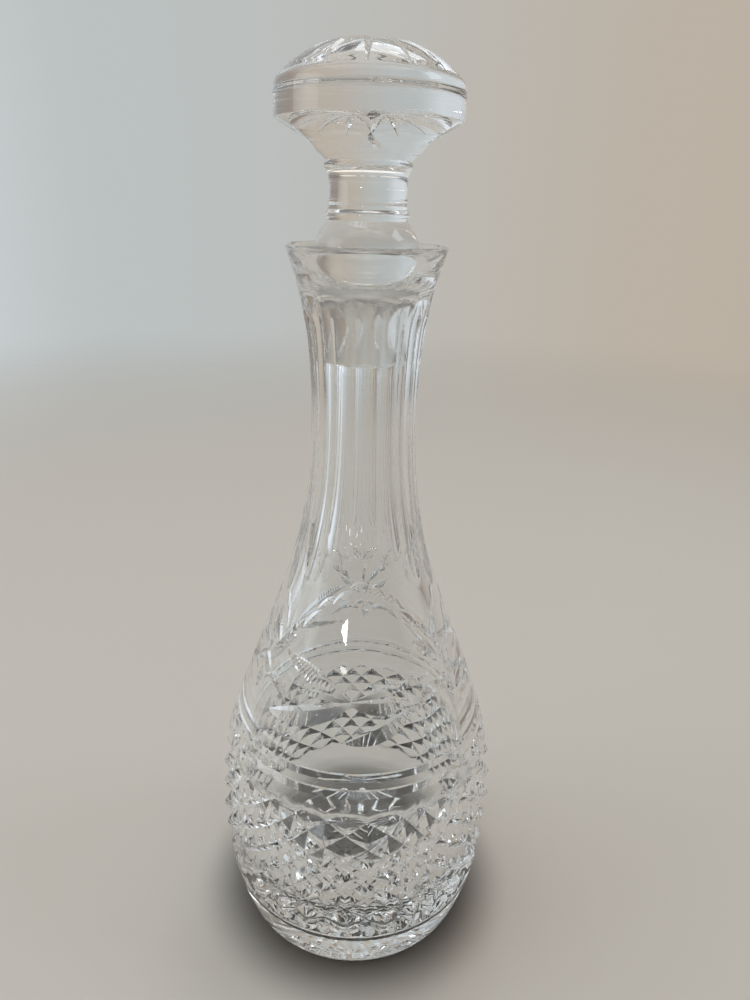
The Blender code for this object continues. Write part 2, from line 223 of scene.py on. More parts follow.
GARLAND_LEAVES = [
    ((-52.0, 134.5), (-40.0, 144.5), 1.3, 0.6, 0, 0),
    ((-41.0, 141.0), (-28.0, 149.5), 1.4, 0.6, 0, 0),
    ((-31.5, 149.5), (-18.0, 155.0), 1.2, 0.5, 0, 0),
    ((-20.5, 152.0), (-7.0, 157.5), 1.4, 0.5, 0, 0),
    ((-8.5, 158.5), (4.5, 160.0), 1.2, 0.4, 0, 0),
    ((5.5, 158.5), (18.5, 154.5), 1.4, 0.4, 0, 0),
    ((16.5, 156.3), (29.5, 150.5), 1.2, 0.5, 0, 0),
    ((27.5, 149.2), (40.5, 141.5), 1.4, 0.5, 0, 0),
    ((39.5, 144.0), (52.0, 134.0), 1.3, 0.6, 0, 0),
]

# A leaf's cutter is a V. Its depth, the side step of its spine and the lift of its open top over the
# glass are shares of its half width. LEAF_END is the share of the swell missing at each end.
LEAF_STATIONS = 41
LEAF_END = 0.03
LEAF_FULLNESS = 0.85
LEAF_DEPTH_SHARE = 0.68
LEAF_SPINE_OFFSET = 0.28
LEAF_LIFT_SHARE = 0.8
LEAF_AHEAD = 0.01
NOTCH_SPAN = (0.46, 0.88)
NOTCH_SHARES = (0.04, 0.5, 0.97)
NOTCH_END = 0.1
NOTCH_HALF_WIDTH = 0.5
NOTCH_DEPTH = 0.45
FLOWER_TURN = 120.0
SPRAY_TURN = 60.0

# Stopper, as (height, radius) in mm from the crown down its outer side to the tip of the peg.
CROWN_OUTLINE = [
    (330.5, 0.0),
    (330.4, 3.0),
    (329.8, 8.5),
    (328.6, 13.5),
    (326.6, 18.5),
    (324.0, 23.0),
    (321.2, 26.6),
    (318.8, 28.9),
    (317.4, 29.6),
    (316.4, 29.8),
]
BAND_OUTLINE = [(316.2, 29.85), (312.0, 29.88), (307.9, 29.88)]
UNDER_OUTLINE = [
    (307.5, 29.7),
    (306.6, 28.9),
    (303.8, 24.6),
    (301.6, 20.6),
    (299.6, 17.2),
    (297.8, 14.8),
    (296.7, 13.7),
]
NECK_OUTLINE = [
    (296.4, 13.9),
    (295.6, 14.2),
    (294.6, 14.1),
    (293.8, 13.4),
    (292.6, 12.95),
    (291.0, 12.7),
    (287.5, 12.6),
    (284.6, 12.8),
    (283.2, 13.1),
    (282.4, 13.0),
]
RING_OUTLINE = [
    (282.1, 13.1),
    (281.5, 13.5),
    (280.6, 13.65),
    (279.7, 13.55),
    (279.0, 13.2),
]
COLLAR_OUTLINE = [
    (278.7, 13.4),
    (277.6, 14.3),
    (276.0, 15.4),
    (273.4, 16.8),
    (270.0, 17.5),
    (267.0, 17.5),
    (264.5, 17.0),
    (262.0, 15.8),
    (260.0, 14.1),
    (258.6, 12.3),
    (257.6, 10.9),
    (256.8, 10.3),
]
PEG_OUTLINE = [(256.2, 10.22), (234.6, 9.32)]
PEG_TIP_OUTLINE = [(234.0, 9.2), (233.5, 8.7), (233.4, 8.0), (233.4, 0.0)]
STOPPER_STEPS = 168

# The stopper from the peg's tip up, as (outline, spacing of the rings, material number).
STOPPER_BANDS = [
    (PEG_TIP_OUTLINE[:-1], 0.4, 0),
    (PEG_OUTLINE, 1.2, 1),
    (COLLAR_OUTLINE, 0.9, 0),
    (RING_OUTLINE, 0.5, 0),
    (NECK_OUTLINE, 0.7, 0),
    (UNDER_OUTLINE, 0.9, 0),
    (BAND_OUTLINE, 0.9, 0),
    (CROWN_OUTLINE[1:], 0.9, 0),
]

# Star on the crown. Near the middle a ray is as wide as its share of the circle lets it be.
STAR_RAYS = 14
STAR_PHASE = math.radians(2.0)
STAR_STATIONS = 25
STAR_REACH = (1.6, 28.3)
STAR_HALF_WIDTH = 1.5
STAR_SWELL = (0.1, 0.88)
STAR_FULLNESS = 0.9
STAR_LEAST_WIDTH = 0.02
STAR_ROOM_SHARE = 0.97
STAR_DEPTH_SHARE = 0.5
STAR_LIFT_SHARE = 0.5
STAR_FLARE = 2.0
SLOPE_REACH = 0.2
CROWN_SAMPLES = 400

# Hollows under the rim: stretched balls that stand out from the axis by UNDER_CUT_REACH.
UNDER_CUTS = 6
UNDER_CUT_PHASE = math.radians(35.0)
UNDER_CUT_RADIUS = 17.4
UNDER_CUT_STRETCH = 2.5
UNDER_CUT_REACH = 31.8
UNDER_CUT_HEIGHT = 291.0

CREASE = math.radians(22.0)
CRYSTAL_IOR = 1.55
GROUND_IOR = 1.2
GROUND_TRANSMISSION = 0.94

# Floor, in metres: its disc, the painted shadow (a soft dark patch painted into its colour where the
# glass meets it), and its fade far off.
FLOOR_RADIUS = 2.4
FLOOR_GAP = 0.15 * MM
FLOOR_COLOR = (0.78, 0.735, 0.675, 1.0)
# Painted shadow: the dark colour painted under the foot and the radii over which it eases into the floor
# colour.
PAINTED_SHADOW_COLOR = (0.15, 0.132, 0.115, 1.0)
PAINTED_SHADOW_SPAN = (0.042, 0.072)
FADE_SPAN = (0.45, 1.7)

# Soft light round the room, from far left at 0 to far right at 1.
ROOM_TONES = [
    (0.0, (0.84, 0.90, 0.96, 1.0)),
    (0.17, (0.66, 0.70, 0.73, 1.0)),
    (0.32, (0.50, 0.53, 0.53, 1.0)),
    (0.68, (0.50, 0.44, 0.37, 1.0)),
    (0.82, (0.26, 0.21, 0.17, 1.0)),
    (0.92, (0.22, 0.18, 0.15, 1.0)),
    (1.0, (0.52, 0.50, 0.48, 1.0)),
]

# Behind the camera the room light falls to ROOM_DIM over this span of the direction's Y.
ROOM_DIM = 0.22
ROOM_DIM_SPAN = (-0.85, 0.2)

# Lights, as name, turn from the front in degrees, distance and height in metres, size in metres,
# radiance and colour.
LIGHTS = [
    ("doorway", -15.0, 1.2, 0.313, (0.16, 0.02), 40.0, (1.0, 0.97, 0.92)),
    ("left_window", -75.0, 1.3, 0.6, (0.9, 0.9), 1.0, (0.82, 0.91, 1.0)),
    ("right_window", 92.0, 1.1, 1.15, (0.45, 0.45), 2.6, (0.8, 0.9, 1.0)),
    ("back_window", 170.0, 0.6, 1.25, (0.5, 0.35), 2.6, (0.85, 0.92, 1.0)),
    ("ceiling", 0.0, 0.1, 1.7, (1.8, 1.8), 0.55, (1.0, 0.96, 0.9)),
]
LIGHT_AIM = Vector((0.0, 0.0, 0.16))

# The camera stands close, a little above the lip, and looks down.
CAMERA_DISTANCE = 0.26
CAMERA_HEIGHT = 0.2823
CAMERA_TURN = math.radians(4.0)
CAMERA_PITCH = math.radians(21.17)
CAMERA_YAW = math.radians(1.07)
CAMERA_ROLL = math.radians(1.52)
CAMERA_LENS = 26.94
SENSOR_HEIGHT = 36.0


def save_bounds(name, corners, kept):
    """Keeps a box's two corners as plain numbers."""
    kept[name] = [[float(value) for value in corner] for corner in corners]


def curve_through(points):
    """A smooth curve r(z) through (height, radius) points, as a function of arrays."""
    heights = np.array([point[0] for point in points], float)
    radii = np.array([point[1] for point in points], float)
    if heights[0] > heights[-1]:
        heights, radii = heights[::-1], radii[::-1]
    slopes = np.gradient(radii, heights)

    def curve(height):
        height = np.clip(np.asarray(height, float), heights[0], heights[-1])
        index = np.clip(np.searchsorted(heights, height) - 1, 0, len(heights) - 2)
        span = heights[index + 1] - heights[index]
        share = (height - heights[index]) / span
        square, cube = share**2, share**3
        return (
            (2 * cube - 3 * square + 1) * radii[index]
            + (cube - 2 * square + share) * span * slopes[index]
            + (3 * square - 2 * cube) * radii[index + 1]
            + (cube - square) * span * slopes[index + 1]
        )

    return curve


body_radius = curve_through(BODY_OUTLINE)


def smooth_step(share):
    """0 below 0, 1 above 1, and an even ease between them."""
    share = np.clip(share, 0.0, 1.0)
    return share * share * (3.0 - 2.0 * share)


def arch_height(turn):
    """Height of the arches that the lower ends of the flutes follow."""
    period = math.tau / ARCHES
    offset = (turn - ARCH_PHASE + period / 2) % period - period / 2
    share = np.abs(offset) / (period / 2)
    return ARCH_CREST - (ARCH_CREST - ARCH_SPRING) * share**ARCH_POWER


def flute_cut(turn, height, radius):
    """Depth of the flutes: hollow across, running out at the top, with a foot that follows the arch."""
    pitch = math.tau / FLUTES
    place = (turn - FLUTE_PHASE) / pitch
    centre = (np.floor(place) + 0.5) * pitch + FLUTE_PHASE
    across = radius * (turn - centre)
    foot = arch_height(centre)
    droop = (ARCH_CREST - foot) / (ARCH_CREST - ARCH_SPRING)
    run = FLUTE_FOOT_RUNS[0] + FLUTE_FOOT_RUNS[1] * droop
    rise = smooth_step((height - foot) / run)
    fall = smooth_step((FLUTE_TOP - height) / FLUTE_TOP_RUN)
    deep = (FLUTE_FOOT_DEPTH + FLUTE_DEPTH * np.sqrt(rise)) * fall * (rise > 0)
    deep = np.minimum(deep, FLUTE_DEPTH)
    return np.maximum(deep - FLUTE_CURVE * across**2, 0.0)


class Skin:
    """Rings of vertices joined into one closed mesh, with a material number for each band of faces."""

    def __init__(self):
        self.points = []
        self.faces = []
        self.groups = []
        self.count = 0

    def ring(self, radii, height, turns):
        """Adds a ring of vertices and returns their numbers. Radius and height may differ round it."""
        radii = np.broadcast_to(radii, turns.shape)
        heights = np.broadcast_to(height, turns.shape)
        self.points.append(np.stack([radii * np.sin(turns), -radii * np.cos(turns), heights], 1) * MM)
        start = self.count
        self.count += len(turns)
        return np.arange(start, self.count)

    def point(self, height):
        """Adds one vertex on the axis and returns its number."""
        self.points.append(np.array([[0.0, 0.0, height * MM]]))
        self.count += 1
        return self.count - 1

    def add(self, faces, group):
        self.faces.extend(faces)
        self.groups.extend([group] * len(faces))

    def join(self, lower, upper, group=0):
        """Quads between two rings of one count, or triangles where one has twice as many vertices."""
        if len(lower) == len(upper):
            low_next, up_next = np.roll(lower, -1), np.roll(upper, -1)
            self.add(np.stack([lower, low_next, up_next, upper], 1).tolist(), group)
        elif len(upper) == 2 * len(lower):
            low_next = np.roll(lower, -1)
            even, odd, after = upper[0::2], upper[1::2], np.roll(upper[0::2], -1)
            self.add(np.stack([lower, odd, even], 1).tolist(), group)
            self.add(np.stack([lower, low_next, odd], 1).tolist(), group)
            self.add(np.stack([low_next, after, odd], 1).tolist(), group)
        else:
            up_next = np.roll(upper, -1)
            even, odd, after = lower[0::2], lower[1::2], np.roll(lower[0::2], -1)
            self.add(np.stack([even, odd, upper], 1).tolist(), group)
            self.add(np.stack([odd, up_next, upper], 1).tolist(), group)
            self.add(np.stack([odd, after, up_next], 1).tolist(), group)

    def join_split(self, lower, upper, leaning):
        """Triangles between two rings, split one way where leaning is true, else the other way."""
        low_next, up_next = np.roll(lower, -1), np.roll(upper, -1)
        for index in range(len(lower)):
            a, b, c, d = lower[index], low_next[index], up_next[index], upper[index]
            if leaning[index]:
                self.add([[a, b, c], [a, c, d]], 0)
            else:
                self.add([[a, b, d], [b, c, d]], 0)

    def cap(self, ring, height, flip):
        """Closes a ring to a point on the axis."""
        centre = self.point(height)
        following = np.roll(ring, -1)
        for first, second in zip(ring.tolist(), following.tolist()):
            self.add([[second, first, centre] if flip else [first, second, centre]], 0)

    def zip(self, lower, upper):
        """Triangles between two rings of unlike counts."""
        low = high = 0
        while low < len(lower) or high < len(upper):
            here, there = lower[low % len(lower)], upper[high % len(upper)]
            low_share = (low + 0.5) / len(lower) if low < len(lower) else 2.0
            high_share = (high + 0.5) / len(upper) if high < len(upper) else 2.0
            if low_share <= high_share:
                low += 1
                self.add([[int(here), int(lower[low % len(lower)]), int(there)]], 0)
            else:
                high += 1
                self.add([[int(here), int(upper[high % len(upper)]), int(there)]], 0)

    def mesh(self, name, materials):
        """The mesh of all that was added, with its material numbers."""
        mesh = bpy.data.meshes.new(name)
        mesh.from_pydata(np.concatenate(self.points).tolist(), [], self.faces)
        for material in materials:
            mesh.materials.append(material)
        mesh.polygons.foreach_set("material_index", self.groups)
        mesh.polygons.foreach_set("use_smooth", [True] * len(mesh.polygons))
        mesh.update()
        return mesh


def turns_of(steps):
    """Even turns round the axis, from the front."""
    return np.arange(steps) * math.tau / steps


def rows_between(low, high, step):
    """Even heights above low, up to and with high, about a step apart."""
    count = max(int(round((high - low) / step)), 1)
    return np.linspace(low, high, count + 1)[1:]


def foot_rows(skin):
    """The underside, with a shallow star in its hollow, and the rounded edge of the foot."""
    turns = turns_of(STEPS)
    # One ray under each diamond: 1 along its line, falling to 0 a quarter of the way to the next.
    ray = np.maximum(np.abs((turns * DIAMONDS / math.tau) % 1.0 - 0.5) * 4.0 - 1.0, 0.0)
    previous = None
    for radius, rise, cut in FOOT_RINGS:
        ring = skin.ring(radius, rise + cut * ray, turns)
        if previous is None:
            skin.cap(ring, rise, flip=True)
        else:
            skin.join(previous, ring)
        previous = ring
    for height, radius in FOOT_EDGE:
        ring = skin.ring(radius, height, turns)
        skin.join(previous, ring)
        previous = ring
    for height in rows_between(FOOT_EDGE[-1][0], DIAMOND_LEVELS[0], PLAIN_ROW):
        ring = skin.ring(body_radius(height), height, wander(turns, height))
        skin.join(previous, ring)
        previous = ring
    return previous


def wander(turns, height):
    """The wheel's drift from even spacing, which fades out above and below the diamonds."""
    drift = 0.0
    for waves, size, start in WANDER:
        drift = drift + np.radians(size) * np.sin(waves * turns + math.radians(start))
    fade_in = smooth_step((height - WANDER_START[0]) / WANDER_START[1])
    fade_out = smooth_step((WANDER_END[0] - height) / WANDER_END[1])
    return turns + drift * (fade_in * fade_out)


def diamond_rows(skin, previous):
    """Pyramids between crossing grooves, each with four flat facets."""
    turns = turns_of(STEPS)
    half = STEPS // (2 * DIAMONDS)
    column = np.arange(STEPS) // half
    inside = (np.arange(STEPS) % half) / half
    for level in range(len(DIAMOND_LEVELS) - 1):
        low, high = DIAMOND_LEVELS[level], DIAMOND_LEVELS[level + 1]
        rising = (column + level) % 2 == 0
        for row in range(1, ROWS_PER_LEVEL + 1):
            share = row / ROWS_PER_LEVEL
            height = low + (high - low) * share
            along = np.where(rising, inside, 1.0 - inside)
            rise = DIAMOND_DEPTHS[level + 1] - DIAMOND_DEPTHS[level]
            depth = DIAMOND_DEPTHS[level] + rise * share
            cut = depth * (1.0 - np.abs(along - share))
            ring = skin.ring(body_radius(height) - cut, height, wander(turns, height))
            skin.join_split(previous, ring, rising)
            previous = ring
    return previous


def ring_rows(skin, previous):
    """The two mitre-cut rings above the diamonds."""
    turns = turns_of(STEPS)
    start = DIAMOND_LEVELS[-1]
    for centre, half_width, depth in RING_GROOVES:
        for height in rows_between(start, centre - half_width, PLAIN_ROW):
            ring = skin.ring(body_radius(height), height, wander(turns, height))
            skin.join(previous, ring)
            previous = ring
        for share in RING_GROOVE_SHARES:
            height = centre + share * half_width
            cut = depth * (1.0 - abs(share))
            ring = skin.ring(body_radius(height) - cut, height, wander(turns, height))
            skin.join(previous, ring)
            previous = ring
        start = centre + half_width
    return previous


def neck_rows(skin, previous):
    """Shoulder, fluted neck and lip. The rings turn from the diamonds' phase to that of the flutes."""
    start = RING_GROOVES[-1][0] + RING_GROOVES[-1][1]
    low = start
    heights = []
    for top, row, times in NECK_BANDS:
        heights += [(value, times * STEPS) for value in rows_between(low, top, row)]
        low = top
    for height, steps in heights:
        phase = FLUTE_PHASE * smooth_step((height - start) / (FINE_FROM - start))
        turns = wander(turns_of(steps), height) + phase
        radius = body_radius(height)
        ring = skin.ring(radius - flute_cut(turns, height, radius), height, turns)
        skin.join(previous, ring)
        previous = ring
    turns = turns_of(STEPS) + FLUTE_PHASE
    for height, radius in LIP_OUTLINE:
        ring = skin.ring(radius, height, turns)
        skin.join(previous, ring)
        previous = ring
    return previous


def cavity_rows(skin, lip_edge):
    """The mouth, the ground seat and the hollow, which is very slightly uneven as blown glass is."""
    curve = curve_through(CAVITY_OUTLINE)
    turns = turns_of(CAVITY_STEPS) + FLUTE_PHASE
    heights = []
    for upper, lower in zip(CAVITY_OUTLINE, CAVITY_OUTLINE[1:]):
        count = max(int((upper[0] - lower[0]) / CAVITY_ROW), 1)
        heights += [upper[0] + (lower[0] - upper[0]) * step / count for step in range(count)]
    heights.append(CAVITY_OUTLINE[-1][0])
    previous = None
    last_height = None
    for height in heights:
        wave = 0.0
        for waves, pitch, size in BLOWN_WAVES:
            wave = wave + size * np.sin(waves * turns + height / pitch)
        calm = smooth_step((FINE_FROM - height) / BLOWN_FADE)
        radius = float(curve(height))
        ring = skin.ring(radius + wave * calm * min(radius / BLOWN_FULL_RADIUS, 1.0), height, turns)
        if previous is None:
            skin.zip(lip_edge, ring)
        else:
            ground = SEAT_FOOT <= height and last_height <= SEAT_TOP
            skin.join(previous, ring, 1 if ground else 0)
        previous = ring
        last_height = height
    skin.cap(previous, CAVITY_FLOOR, flip=False)


def shoulder_point(turn, height):
    """A point on the uncut shoulder, in mm, and the outward direction there."""
    radius = float(body_radius(height))
    slope = float(body_radius(height + 0.5) - body_radius(height - 0.5))
    angle = math.radians(turn)
    around = Vector((math.sin(angle), -math.cos(angle), 0.0))
    outward = (around - Vector((0.0, 0.0, slope))).normalized()
    return around * radius + Vector((0.0, 0.0, height)), outward


def tube_between(bm, sections):
    """Faces along a row of sections with equal corner counts, closed at both ends."""
    rows = [[bm.verts.new(point * MM) for point in section] for section in sections]
    count = len(rows[0])
    for first, second in zip(rows, rows[1:]):
        for corner in range(count):
            following = (corner + 1) % count
            bm.faces.new((first[corner], first[following], second[following], second[corner]))
    bm.faces.new(tuple(reversed(rows[0])))
    bm.faces.new(tuple(rows[-1]))


def leaf_frame(leaf, turn, share):
    """The surface point, outward, sideways and forward directions and half width, along a leaf."""
    root, tip, half_width, bow = leaf[:4]
    across, rise = tip[0] - root[0], tip[1] - root[1]

    def place(at):
        bowed = bow * math.sin(math.pi * at)
        return shoulder_point(root[0] + at * across + turn, root[1] + at * rise + bowed)

    centre, outward = place(share)
    forward = (place(share + LEAF_AHEAD)[0] - place(share - LEAF_AHEAD)[0]).normalized()
    sideways = outward.cross(forward).normalized()
    if sideways.z < 0.0:
        sideways = -sideways
    swell = math.sin(math.pi * (LEAF_END + (1.0 - 2.0 * LEAF_END) * share))
    width = half_width * swell**LEAF_FULLNESS
    return centre, outward, sideways, forward, width


def leaf_into(bm, leaf, turn):
    """One wheel-cut leaf: a lopsided V that swells and narrows, with its spine above the middle."""
    sections = []
    for station in range(LEAF_STATIONS):
        centre, outward, sideways, _, width = leaf_frame(leaf, turn, station / (LEAF_STATIONS - 1))
        depth, lift = width * LEAF_DEPTH_SHARE, width * LEAF_LIFT_SHARE
        spine = centre + sideways * width * LEAF_SPINE_OFFSET
        spread = (depth + lift) / depth
        sections.append([
            spine - outward * depth,
            spine + outward * lift + sideways * width * (1.0 - LEAF_SPINE_OFFSET) * spread,
            spine + outward * lift - sideways * width * (1.0 + LEAF_SPINE_OFFSET) * spread,
        ])
    tube_between(bm, sections)


def notches_into(bm, leaf, turn):
    """Short cuts across the outer half of a leaf, from its spine to its edge."""
    count, side = leaf[4:]
    sides = (-1, 1) if side == 0 else (side,)
    for notch in range(count):
        share = NOTCH_SPAN[0] + (NOTCH_SPAN[1] - NOTCH_SPAN[0]) * (notch + 0.5) / count
        centre, outward, sideways, forward, width = leaf_frame(leaf, turn, share)
        spine = centre + sideways * width * LEAF_SPINE_OFFSET - outward * width * LEAF_DEPTH_SHARE
        for way in sides:
            run = centre + sideways * way * width - spine
            facing = run.cross(forward).normalized()
            facing = facing if facing.dot(outward) > 0.0 else -facing
            sections = []
            for at in NOTCH_SHARES:
                point = spine + run * at
                size = math.sin(math.pi * (NOTCH_END + (1.0 - 2.0 * NOTCH_END) * at))
                sections.append([
                    point - facing * NOTCH_DEPTH * size,
                    point + facing * NOTCH_DEPTH + forward * NOTCH_HALF_WIDTH * (1.0 + size),
                    point + facing * NOTCH_DEPTH - forward * NOTCH_HALF_WIDTH * (1.0 + size),
                ])
            tube_between(bm, sections)


def helper(name, bm):
    """A closed cutter object from a bmesh."""
    bmesh.ops.recalc_face_normals(bm, faces=bm.faces)
    bmesh.ops.triangulate(bm, faces=bm.faces)
    mesh = bpy.data.meshes.new(name)
    bm.to_mesh(mesh)
    bm.free()
    cutter = bpy.data.objects.new(name, mesh)
    bpy.context.scene.collection.objects.link(cutter)
    return cutter


def repeated_leaf(name, leaf, first_turn):
    """The cutters of one leaf and of its notches, three times round the bottle."""
    bm = bmesh.new()
    notched = bmesh.new()
    for repeat in range(ARCHES):
        leaf_into(bm, leaf, first_turn + repeat * FLOWER_TURN)
        notches_into(notched, leaf, first_turn + repeat * FLOWER_TURN)
    cutters = [helper(name, bm)]
    if notched.faces:
        cutters.append(helper(name + "_notches", notched))
    return cutters


def garland_cutters():
    """The small leaves along the arches, every other one in each cutter."""
    bm_even = bmesh.new()
    bm_odd = bmesh.new()
    for repeat in range(ARCHES):
        turn = math.degrees(ARCH_PHASE) + repeat * FLOWER_TURN
        for index, leaf in enumerate(GARLAND_LEAVES):
            leaf_into(bm_odd if index % 2 else bm_even, leaf, turn)
    return [helper("garland_even", bm_even), helper("garland_odd", bm_odd)]


def star_cutters():
    """Rays cut into the crown, every other ray in each cutter."""
    crown = curve_through(CROWN_OUTLINE)
    heights = np.linspace(CROWN_OUTLINE[-1][0], CROWN_OUTLINE[0][0], CROWN_SAMPLES)
    radii = crown(heights)
    order = np.argsort(radii)

    def crown_height(radius):
        return float(np.interp(radius, radii[order], heights[order]))

    cutters = []
    for first in (0, 1):
        bm = bmesh.new()
        for ray in range(first, STAR_RAYS, 2):
            angle = ray * math.tau / STAR_RAYS + STAR_PHASE
            out = Vector((math.sin(angle), -math.cos(angle), 0.0))
            sideways = Vector((math.cos(angle), math.sin(angle), 0.0))
            sections = []
            for station in range(STAR_STATIONS):
                share = station / (STAR_STATIONS - 1)
                reach = STAR_REACH[0] + (STAR_REACH[1] - STAR_REACH[0]) * share
                fall = crown_height(reach + SLOPE_REACH) - crown_height(reach - SLOPE_REACH)
                outward = (Vector((0.0, 0.0, 2.0 * SLOPE_REACH)) - out * fall).normalized()
                centre = out * reach + Vector((0.0, 0.0, crown_height(reach)))
                room = reach * math.tan(math.pi / STAR_RAYS) * STAR_ROOM_SHARE
                swell = math.sin(math.pi * (STAR_SWELL[0] + STAR_SWELL[1] * share)) ** STAR_FULLNESS
                width = min(STAR_HALF_WIDTH * swell, room) + STAR_LEAST_WIDTH
                sections.append([
                    centre - outward * width * STAR_DEPTH_SHARE,
                    centre + outward * width * STAR_LIFT_SHARE + sideways * width * STAR_FLARE,
                    centre + outward * width * STAR_LIFT_SHARE - sideways * width * STAR_FLARE,
                ])
            tube_between(bm, sections)
        cutters.append(helper(f"star_{first}", bm))
    return cutters


def under_cutters():
    """Long hollows under the rim, every other one in each cutter."""
    cutters = []
    for first in (0, 1):
        bm = bmesh.new()
        for cut in range(first, UNDER_CUTS, 2):
            angle = cut * math.tau / UNDER_CUTS + UNDER_CUT_PHASE
            centre = Vector((0.0, -UNDER_CUT_REACH, UNDER_CUT_HEIGHT)) * MM
            stretch = Matrix.Diagonal((UNDER_CUT_STRETCH, 1.0, 1.0, 1.0))
            place = Matrix.Rotation(angle, 4, "Z") @ Matrix.Translation(centre) @ stretch
            bmesh.ops.create_icosphere(bm, subdivisions=5, radius=UNDER_CUT_RADIUS * MM, matrix=place)
        cutters.append(helper(f"under_{first}", bm))
    return cutters


def cut_with(obj, cutters):
    """Takes each cutter away from obj for good, then removes the cutters."""
    for cutter in cutters:
        modifier = obj.modifiers.new(cutter.name, "BOOLEAN")
        modifier.operation = "DIFFERENCE"
        modifier.solver = "MANIFOLD"
        modifier.object = cutter
    bpy.context.view_layer.update()
    graph = bpy.context.evaluated_depsgraph_get()
    made = bpy.data.meshes.new_from_object(obj.evaluated_get(graph))
    obj.modifiers.clear()
    obj.data = made
    for cutter in cutters:
        bpy.data.objects.remove(cutter, do_unlink=True)


def crease(obj):
    """Smooth shading that breaks at the edges of the cuts."""
    mesh = obj.data
    mesh.polygons.foreach_set("use_smooth", [True] * len(mesh.polygons))
    mesh.set_sharp_from_angle(angle=CREASE)


def new_material(name):
    material = bpy.data.materials.new(name)
    material.use_nodes = True
    return material, material.node_tree, material.node_tree.nodes["Principled BSDF"]


def add_noise(tree, scale, detail):
    """Noise fixed to the object."""
    coordinates = tree.nodes.new("ShaderNodeTexCoord")
    noise = tree.nodes.new("ShaderNodeTexNoise")
    noise.inputs["Scale"].default_value = scale
    noise.inputs["Detail"].default_value = detail
    tree.links.new(coordinates.outputs["Object"], noise.inputs["Vector"])
    return noise


def ranged(tree, source, low, high):
    """A value from 0 to 1 spread between low and high."""
    span = tree.nodes.new("ShaderNodeMapRange")
    span.inputs["To Min"].default_value = low
    span.inputs["To Max"].default_value = high
    tree.links.new(source, span.inputs["Value"])
    return span.outputs["Result"]


def bumped(tree, surface, source, strength, distance):
    bump = tree.nodes.new("ShaderNodeBump")
    bump.inputs["Strength"].default_value = strength
    bump.inputs["Distance"].default_value = distance
    tree.links.new(source, bump.inputs["Height"])
    tree.links.new(bump.outputs["Normal"], surface.inputs["Normal"])


def crystal_material(name, color):
    """Polished lead crystal: clear, with the faint waviness and wipe haze of hand-polished cuts."""
    material, tree, surface = new_material(name)
    surface.inputs["Base Color"].default_value = color
    surface.inputs["IOR"].default_value = CRYSTAL_IOR
    surface.inputs["Transmission Weight"].default_value = 1.0
    haze = add_noise(tree, scale=60.0, detail=3.0)
    roughness = ranged(tree, haze.outputs["Fac"], low=0.0, high=0.02)
    tree.links.new(roughness, surface.inputs["Roughness"])
    waviness = add_noise(tree, scale=30.0, detail=0.0)
    bumped(tree, surface, waviness.outputs["Fac"], strength=0.04, distance=0.0003)
    return material


def ground_material(name, color):
    """The ground taper of the peg and its seat, wedged together so that light hardly bends."""
    material, tree, surface = new_material(name)
    surface.inputs["Base Color"].default_value = color
    surface.inputs["IOR"].default_value = GROUND_IOR
    surface.inputs["Transmission Weight"].default_value = GROUND_TRANSMISSION
    grain = add_noise(tree, scale=900.0, detail=4.0)
    roughness = ranged(tree, grain.outputs["Fac"], low=0.22, high=0.38)
    tree.links.new(roughness, surface.inputs["Roughness"])
    bumped(tree, surface, grain.outputs["Fac"], strength=0.1, distance=0.0001)
    return material


def make_bottle():
    """The bottle, turned and cut, with its leaves and garlands."""
    skin = Skin()
    ring = foot_rows(skin)
    ring = diamond_rows(skin, ring)
    ring = ring_rows(skin, ring)
    ring = neck_rows(skin, ring)
    cavity_rows(skin, ring)
    clear = crystal_material("bottle_crystal_clear", (0.975, 0.985, 0.985, 1.0))
    ground = ground_material("bottle_seat_ground", (1.0, 0.995, 0.98, 1.0))
    bottle = bpy.data.objects.new("bottle_glass", skin.mesh("bottle_glass", [clear, ground]))
    bpy.context.scene.collection.objects.link(bottle)
    cutters = garland_cutters()
    for index, leaf in enumerate(FLOWER_LEAVES):
        cutters += repeated_leaf(f"flower_{index}", leaf, 0.0)
    for index, leaf in enumerate(SPRAY_LEAVES):
        cutters += repeated_leaf(f"spray_{index}", leaf, SPRAY_TURN)
    cut_with(bottle, cutters)
    crease(bottle)
    return bottle


def spaced(points, step):
    """The points of an outline with more between them, on one smooth curve."""
    lengths = [0.0]
    for first, second in zip(points, points[1:]):
        lengths.append(lengths[-1] + math.hypot(second[0] - first[0], second[1] - first[1]))
    heights = curve_through([(length, point[0]) for length, point in zip(lengths, points)])
    radii = curve_through([(length, point[1]) for length, point in zip(lengths, points)])
    count = max(int(lengths[-1] / step), len(points))
    return [(float(heights(at)), float(radii(at))) for at in np.linspace(0.0, lengths[-1], count + 1)]


def make_stopper():
    """The stopper from the tip of its peg up, with its star and its hollows."""
    skin = Skin()
    turns = turns_of(STOPPER_STEPS)
    previous = None
    for outline, row, group in STOPPER_BANDS:
        for index, (height, radius) in enumerate(spaced(outline[::-1], row)):
            ring = skin.ring(radius, height, turns)
            if previous is None:
                skin.cap(ring, height, flip=True)
            else:
                skin.join(previous, ring, group if index else 0)
            previous = ring
    skin.cap(previous, CROWN_OUTLINE[0][0], flip=False)
    clear = crystal_material("stopper_crystal_clear", (0.985, 0.99, 0.99, 1.0))
    ground = ground_material("stopper_peg_ground", (1.0, 0.995, 0.98, 1.0))
    stopper = bpy.data.objects.new("stopper_glass", skin.mesh("stopper_glass", [clear, ground]))
    bpy.context.scene.collection.objects.link(stopper)
    cut_with(stopper, star_cutters() + under_cutters())
    crease(stopper)
    return stopper


def eased(tree, source, span):
    """A smooth rise from 0 to 1 as the source passes over a span."""
    rise = tree.nodes.new("ShaderNodeMapRange")
    rise.interpolation_type = "SMOOTHSTEP"
    rise.inputs["From Min"].default_value = span[0]
    rise.inputs["From Max"].default_value = span[1]
    tree.links.new(source, rise.inputs["Value"])
    return rise


